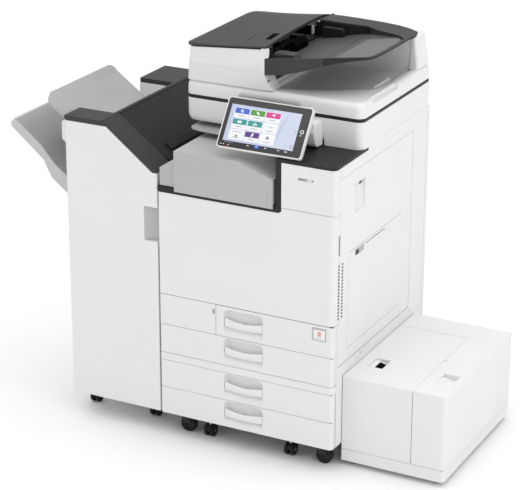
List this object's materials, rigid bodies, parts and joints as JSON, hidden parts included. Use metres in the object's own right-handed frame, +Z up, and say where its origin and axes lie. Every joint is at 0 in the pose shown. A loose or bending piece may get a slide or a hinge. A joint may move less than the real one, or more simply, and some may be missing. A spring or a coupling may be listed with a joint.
{
  "type": "photocopier",
  "caption": "Floor-standing colour copier with paper drawers, document feeder, touch panel, side finisher with trays and a large side paper tray.",
  "frame": {"origin": "under the middle of the whole machine, on the floor", "axes": "+X to the machine's right, +Y from its front to its back, +Z up"},
  "size_m": [1.4786, 0.689, 1.249],
  "materials": {
    "white_cover": "fine spark-textured moulded cover",
    "charcoal_cover": "fine-grained charcoal moulding",
    "gray_cover": "satin gray moulding",
    "tray_gray": "smoky gray moulded tray",
    "drawer_plastic": "satin gray moulding",
    "frame_steel": "zinc-coated pressed sheet",
    "screen_glass": "glossy touch panel",
    "platen_glass": "polished float glass",
    "pad_cloth": "white faced foam sheet",
    "black_plastic": "black moulding",
    "wheel_rubber": "smooth tread",
    "roller_coat": "coated roller with bright shaft ends",
    "belt_film": "smooth film belt",
    "toner_plastic": "blow-moulded bottle"
  },
  "bodies": {
    "main": {"left_cover": "white_cover", "rear_cover": "white_cover", "right_cover": "white_cover", "front_upper_cover": "white_cover", "scanner_housing": "white_cover", "panel_mount": "white_cover", "black_trim": "charcoal_cover", "scanner_trim": "charcoal_cover", "bridge_unit": "gray_cover", "one_bin_tray": "gray_cover", "main_frame": "frame_steel", "bank_frame": "frame_steel", "platen_glass": "platen_glass", "power_inlet": "black_plastic", "fixed_casters": "black_plastic", "laser_unit": "black_plastic", "imaging_units": "black_plastic", "transfer_unit": "belt_film", "toner_bottles": "toner_plastic"},
    "front_door": {"front_door": "white_cover"},
    "switch_cover": {"switch_cover": "white_cover"},
    "power_switch": {"power_switch": "black_plastic"},
    "drawer_1": {"drawer_1_front": "white_cover", "drawer_1_tray": "drawer_plastic"},
    "drawer_2": {"drawer_2_front": "white_cover", "drawer_2_tray": "drawer_plastic"},
    "drawer_3": {"drawer_3_front": "white_cover", "drawer_3_tray": "drawer_plastic"},
    "drawer_4": {"drawer_4_front": "white_cover", "drawer_4_tray": "drawer_plastic"},
    "right_door": {"right_door": "white_cover"},
    "bypass_tray": {"bypass_tray": "white_cover"},
    "fuser_roller": {"fuser_roller": "roller_coat"},
    "pressure_roller": {"pressure_roller": "roller_coat"},
    "scan_carriage": {"scan_carriage": "black_plastic"},
    "panel": {"panel_housing": "white_cover", "panel_screen": "screen_glass"},
    "feeder": {"platen_cover": "white_cover", "platen_pad": "pad_cloth", "feeder_housing": "white_cover"},
    "feeder_cover": {"feeder_cover": "charcoal_cover"},
    "feed_roller": {"feed_roller": "wheel_rubber"},
    "input_tray": {"input_tray": "charcoal_cover"},
    "guide_front": {"guide_front": "charcoal_cover"},
    "guide_rear": {"guide_rear": "charcoal_cover"},
    "finisher": {"finisher_body": "white_cover", "finisher_cap": "charcoal_cover", "upper_tray": "tray_gray", "finisher_feet": "black_plastic"},
    "finisher_door": {"finisher_door": "white_cover"},
    "shift_tray": {"shift_tray": "tray_gray"},
    "lct": {"lct_body": "white_cover", "lct_feet": "black_plastic"},
    "lct_lid": {"lct_lid": "white_cover"},
    "caster_left": {"caster_fork_left": "black_plastic"},
    "caster_right": {"caster_fork_right": "black_plastic"},
    "front_wheel_left": {"front_wheel_left": "wheel_rubber"},
    "front_wheel_right": {"front_wheel_right": "wheel_rubber"},
    "rear_wheel_left": {"rear_wheel_left": "wheel_rubber"},
    "rear_wheel_right": {"rear_wheel_right": "wheel_rubber"}
  },
  "joints": [
    {"name": "front_door_hinge", "type": "hinge", "parent": "main", "child": "front_door", "pos_m": [-0.17125, -0.3305, 0.64], "axis": [0, 0, -1], "range_deg": [0, 95]},
    {"name": "switch_cover_hinge", "type": "hinge", "parent": "main", "child": "switch_cover", "pos_m": [-0.17325, -0.3325, 0.427], "axis": [0, 0, -1], "range_deg": [0, 95]},
    {"name": "power_switch_rock", "type": "hinge", "parent": "main", "child": "power_switch", "pos_m": [-0.08825, -0.3105, 0.43], "axis": [1, 0, 0], "range_deg": [-10, 10]},
    {"name": "drawer_1_slide", "type": "slide", "parent": "main", "child": "drawer_1", "axis": [0, -1, 0], "range_m": [0, 0.42]},
    {"name": "drawer_2_slide", "type": "slide", "parent": "main", "child": "drawer_2", "axis": [0, -1, 0], "range_m": [0, 0.42]},
    {"name": "drawer_3_slide", "type": "slide", "parent": "main", "child": "drawer_3", "axis": [0, -1, 0], "range_m": [0, 0.42]},
    {"name": "drawer_4_slide", "type": "slide", "parent": "main", "child": "drawer_4", "axis": [0, -1, 0], "range_m": [0, 0.42]},
    {"name": "right_door_hinge", "type": "hinge", "parent": "main", "child": "right_door", "pos_m": [0.39875, -0.0405, 0.342], "axis": [0, 1, 0], "range_deg": [0, 45]},
    {"name": "bypass_tray_hinge", "type": "hinge", "parent": "right_door", "child": "bypass_tray", "pos_m": [0.39975, -0.0405, 0.38], "axis": [0, 1, 0], "range_deg": [0, 70]},
    {"name": "fuser_spin", "type": "hinge", "parent": "main", "child": "fuser_roller", "pos_m": [0.31275, -0.0405, 0.77], "axis": [0, 1, 0], "continuous": true},
    {"name": "pressure_spin", "type": "hinge", "parent": "main", "child": "pressure_roller", "pos_m": [0.35315, -0.0405, 0.77], "axis": [0, 1, 0], "continuous": true},
    {"name": "carriage_slide", "type": "slide", "parent": "main", "child": "scan_carriage", "axis": [1, 0, 0], "range_m": [0, 0.42]},
    {"name": "panel_tilt", "type": "hinge", "parent": "main", "child": "panel", "pos_m": [0.15275, -0.2325, 1.014], "axis": [-1, 0, 0], "range_deg": [0, 38]},
    {"name": "feeder_lift", "type": "hinge", "parent": "main", "child": "feeder", "pos_m": [0.10975, 0.341, 1.0642], "axis": [-1, 0, 0], "range_deg": [0, 65]},
    {"name": "feeder_cover_hinge", "type": "hinge", "parent": "feeder", "child": "feeder_cover", "pos_m": [-0.19125, 0.0795, 1.2105], "axis": [0, -1, 0], "range_deg": [0, 70]},
    {"name": "feed_roller_spin", "type": "hinge", "parent": "feeder", "child": "feed_roller", "pos_m": [0.04175, 0.0395, 1.196], "axis": [0, 1, 0], "continuous": true},
    {"name": "input_tray_lift", "type": "hinge", "parent": "feeder", "child": "input_tray", "pos_m": [0.08875, 0.0795, 1.229], "axis": [0, -1, 0], "range_deg": [0, 30]},
    {"name": "guide_rear_slide", "type": "slide", "parent": "input_tray", "child": "guide_rear", "axis": [0, -1, 0], "range_m": [0, 0.08]},
    {"name": "guide_front_slide", "type": "slide", "parent": "input_tray", "child": "guide_front", "axis": [0, 1, 0], "range_m": [0, 0.08]},
    {"name": "finisher_dock", "type": "slide", "parent": "main", "child": "finisher", "axis": [-1, 0, 0], "range_m": [0, 0.12]},
    {"name": "finisher_door_hinge", "type": "hinge", "parent": "finisher", "child": "finisher_door", "pos_m": [-0.49925, -0.3315, 0.52], "axis": [0, 0, -1], "range_deg": [0, 100]},
    {"name": "shift_tray_slide", "type": "slide", "parent": "finisher", "child": "shift_tray", "axis": [0, 0, -1], "range_m": [0, 0.38]},
    {"name": "lct_dock", "type": "slide", "parent": "main", "child": "lct", "axis": [1, 0, 0], "range_m": [0, 0.15]},
    {"name": "lct_lid_hinge", "type": "hinge", "parent": "lct", "child": "lct_lid", "pos_m": [0.62775, -0.0605, 0.2965], "axis": [0, 1, 0], "range_deg": [0, 80]},
    {"name": "caster_swivel_left", "type": "hinge", "parent": "main", "child": "caster_left", "pos_m": [-0.13225, -0.2805, 0.059], "axis": [0, 0, 1], "continuous": true},
    {"name": "front_wheel_spin_left", "type": "hinge", "parent": "caster_left", "child": "front_wheel_left", "pos_m": [-0.11825, -0.2805, 0.026], "axis": [0, 1, 0], "continuous": true},
    {"name": "caster_swivel_right", "type": "hinge", "parent": "main", "child": "caster_right", "pos_m": [0.33975, -0.2805, 0.059], "axis": [0, 0, 1], "continuous": true},
    {"name": "front_wheel_spin_right", "type": "hinge", "parent": "caster_right", "child": "front_wheel_right", "pos_m": [0.35375, -0.2805, 0.026], "axis": [0, 1, 0], "continuous": true},
    {"name": "rear_wheel_spin_left", "type": "hinge", "parent": "main", "child": "rear_wheel_left", "pos_m": [-0.11825, 0.2795, 0.026], "axis": [1, 0, 0], "continuous": true},
    {"name": "rear_wheel_spin_right", "type": "hinge", "parent": "main", "child": "rear_wheel_right", "pos_m": [0.35375, 0.2795, 0.026], "axis": [1, 0, 0], "continuous": true}
  ],
  "couplings": [
    {"joint": "pressure_spin", "follows": "fuser_spin", "ratio": -1},
    {"joint": "guide_front_slide", "follows": "guide_rear_slide", "ratio": 1}
  ]
}
